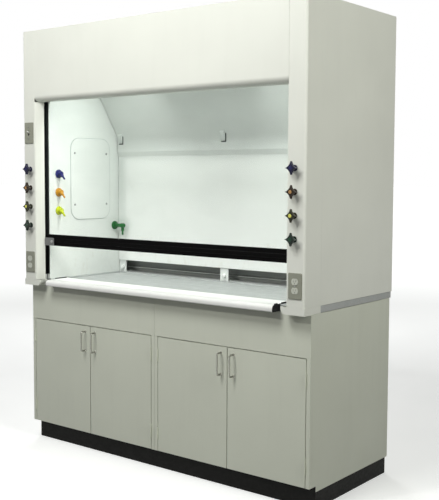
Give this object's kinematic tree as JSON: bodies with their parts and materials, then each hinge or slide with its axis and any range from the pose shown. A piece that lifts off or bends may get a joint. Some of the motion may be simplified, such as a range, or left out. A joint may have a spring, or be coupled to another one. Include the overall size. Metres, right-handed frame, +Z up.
{
  "type": "fume hood",
  "caption": "Bench-top fume hood with a sliding glass sash, baffled chamber, service knobs and outlets, on steel base cabinets with doors.",
  "frame": {"origin": "middle of the bounding box, at floor level", "axes": "+Z up, -Y is the front with the sash and doors, +X to the right seen from the front"},
  "size_m": [1.8288, 0.835, 2.289],
  "materials": {
    "base_black": "matt moulded",
    "cabinet_paint": "satin powder coat",
    "pull_steel": "satin",
    "worktop_resin": "matt cast resin",
    "airfoil_white": "satin powder coat",
    "cap_black": "moulded",
    "enamel": "satin powder coat",
    "liner_white": "smooth composite sheet",
    "bracket_paint": "satin",
    "fitting_steel": "zinc plated",
    "tube_white": "phosphor coated",
    "lens_glass": "clear",
    "sash_glass": "clear safety glass",
    "rail_black": "black satin coat",
    "lock_grey": "satin",
    "track_black": "extruded, satin",
    "weight_steel": "primer",
    "device_grey": "moulded",
    "toggle_white": "moulded",
    "valve_brass": "cast and turned",
    "coat_blue": "epoxy coat",
    "coat_orange": "epoxy coat",
    "coat_yellow": "epoxy coat",
    "coat_green": "epoxy coat"
  },
  "bodies": {
    "hood": {"toe_base": "base_black", "left_cabinet_body": "cabinet_paint", "right_cabinet_body": "cabinet_paint", "cabinet_shelves": "cabinet_paint", "apron_panels": "cabinet_paint", "hinge_frame_leaves": "cabinet_paint", "worktop": "worktop_resin", "airfoil": "airfoil_white", "airfoil_end_caps": "cap_black", "left_post": "enamel", "right_post": "enamel", "post_feet": "enamel", "front_header": "enamel", "front_lintel": "liner_white", "ceiling_liner": "liner_white", "side_liners": "liner_white", "rear_liner": "liner_white", "upper_baffle": "liner_white", "lower_baffle": "liner_white", "baffle_brackets": "bracket_paint", "access_panels": "liner_white", "panel_screws": "fitting_steel", "left_side_panel": "enamel", "right_side_panel": "enamel", "rear_panel": "enamel", "roof_panel": "enamel", "exhaust_collar": "fitting_steel", "light_housing": "enamel", "light_tubes": "tube_white", "light_lens": "lens_glass", "sash_tracks": "track_black", "shaft_brackets": "fitting_steel", "sash_cables": "fitting_steel", "wiring_devices": "device_grey", "service_valves": "valve_brass", "hose_outlets": "coat_blue", "water_outlets": "coat_green"},
    "sash": {"sash_glass": "sash_glass", "sash_rail": "rail_black", "sash_hardware": "lock_grey"},
    "counterweight": {"counterweight": "weight_steel"},
    "front_shaft": {"front_pulley_shaft": "fitting_steel"},
    "rear_shaft": {"rear_pulley_shaft": "fitting_steel"},
    "left_cabinet_left_door": {"left_cabinet_left_door": "cabinet_paint", "left_cabinet_left_pull": "pull_steel"},
    "left_cabinet_right_door": {"left_cabinet_right_door": "cabinet_paint", "left_cabinet_right_pull": "pull_steel"},
    "right_cabinet_left_door": {"right_cabinet_left_door": "cabinet_paint", "right_cabinet_left_pull": "pull_steel"},
    "right_cabinet_right_door": {"right_cabinet_right_door": "cabinet_paint", "right_cabinet_right_pull": "pull_steel"},
    "left_knob_1": {"left_knob_1": "coat_blue"},
    "left_knob_2": {"left_knob_2": "coat_orange"},
    "left_knob_3": {"left_knob_3": "coat_yellow"},
    "left_knob_4": {"left_knob_4": "coat_green"},
    "right_knob_1": {"right_knob_1": "coat_blue"},
    "right_knob_2": {"right_knob_2": "coat_orange"},
    "right_knob_3": {"right_knob_3": "coat_yellow"},
    "right_knob_4": {"right_knob_4": "coat_green"},
    "switch_toggle": {"switch_toggle": "toggle_white"}
  },
  "joints": [
    {"name": "sash_slide", "type": "slide", "parent": "hood", "child": "sash", "axis": [0, 0, 1], "range_m": [-0.183, 0.534], "deforming": ["sash_cables"]},
    {"name": "counterweight_slide", "type": "slide", "parent": "hood", "child": "counterweight", "axis": [0, 0, 1], "range_m": [-0.534, 0.183]},
    {"name": "front_shaft_turn", "type": "hinge", "parent": "hood", "child": "front_shaft", "pos_m": [0, -0.29345, 2.205], "axis": [1, 0, 0], "range_deg": [-1230, 425]},
    {"name": "rear_shaft_turn", "type": "hinge", "parent": "hood", "child": "rear_shaft", "pos_m": [0, 0.34305, 2.205], "axis": [1, 0, 0], "range_deg": [-1230, 425]},
    {"name": "left_cabinet_left_door_hinge", "type": "hinge", "parent": "hood", "child": "left_cabinet_left_door", "pos_m": [-0.892, -0.32915, 0.392], "axis": [0, 0, 1], "range_deg": [-110, 0]},
    {"name": "left_cabinet_right_door_hinge", "type": "hinge", "parent": "hood", "child": "left_cabinet_right_door", "pos_m": [-0.0224, -0.32915, 0.392], "axis": [0, 0, 1], "range_deg": [0, 88]},
    {"name": "right_cabinet_left_door_hinge", "type": "hinge", "parent": "hood", "child": "right_cabinet_left_door", "pos_m": [0.0224, -0.32915, 0.392], "axis": [0, 0, 1], "range_deg": [-88, 0]},
    {"name": "right_cabinet_right_door_hinge", "type": "hinge", "parent": "hood", "child": "right_cabinet_right_door", "pos_m": [0.892, -0.32915, 0.392], "axis": [0, 0, 1], "range_deg": [0, 110]},
    {"name": "left_knob_1_turn", "type": "hinge", "parent": "hood", "child": "left_knob_1", "pos_m": [-0.858, -0.40845, 1.51], "axis": [0, -1, 0], "range_deg": [0, 540]},
    {"name": "left_knob_2_turn", "type": "hinge", "parent": "hood", "child": "left_knob_2", "pos_m": [-0.858, -0.40845, 1.4084], "axis": [0, -1, 0], "range_deg": [0, 540]},
    {"name": "left_knob_3_turn", "type": "hinge", "parent": "hood", "child": "left_knob_3", "pos_m": [-0.858, -0.40845, 1.3068], "axis": [0, -1, 0], "range_deg": [0, 540]},
    {"name": "left_knob_4_turn", "type": "hinge", "parent": "hood", "child": "left_knob_4", "pos_m": [-0.858, -0.40845, 1.2052], "axis": [0, -1, 0], "range_deg": [0, 540]},
    {"name": "right_knob_1_turn", "type": "hinge", "parent": "hood", "child": "right_knob_1", "pos_m": [0.858, -0.40845, 1.51], "axis": [0, -1, 0], "range_deg": [0, 540]},
    {"name": "right_knob_2_turn", "type": "hinge", "parent": "hood", "child": "right_knob_2", "pos_m": [0.858, -0.40845, 1.4084], "axis": [0, -1, 0], "range_deg": [0, 540]},
    {"name": "right_knob_3_turn", "type": "hinge", "parent": "hood", "child": "right_knob_3", "pos_m": [0.858, -0.40845, 1.3068], "axis": [0, -1, 0], "range_deg": [0, 540]},
    {"name": "right_knob_4_turn", "type": "hinge", "parent": "hood", "child": "right_knob_4", "pos_m": [0.858, -0.40845, 1.2052], "axis": [0, -1, 0], "range_deg": [0, 540]},
    {"name": "switch_toggle_tilt", "type": "hinge", "parent": "hood", "child": "switch_toggle", "pos_m": [-0.866, -0.37545, 1.705], "axis": [1, 0, 0], "range_deg": [0, 50]}
  ],
  "couplings": [
    {"joint": "counterweight_slide", "follows": "sash_slide", "ratio": -1},
    {"joint": "front_shaft_turn", "follows": "sash_slide", "rad_per_m": -40},
    {"joint": "rear_shaft_turn", "follows": "sash_slide", "rad_per_m": -40}
  ]
}
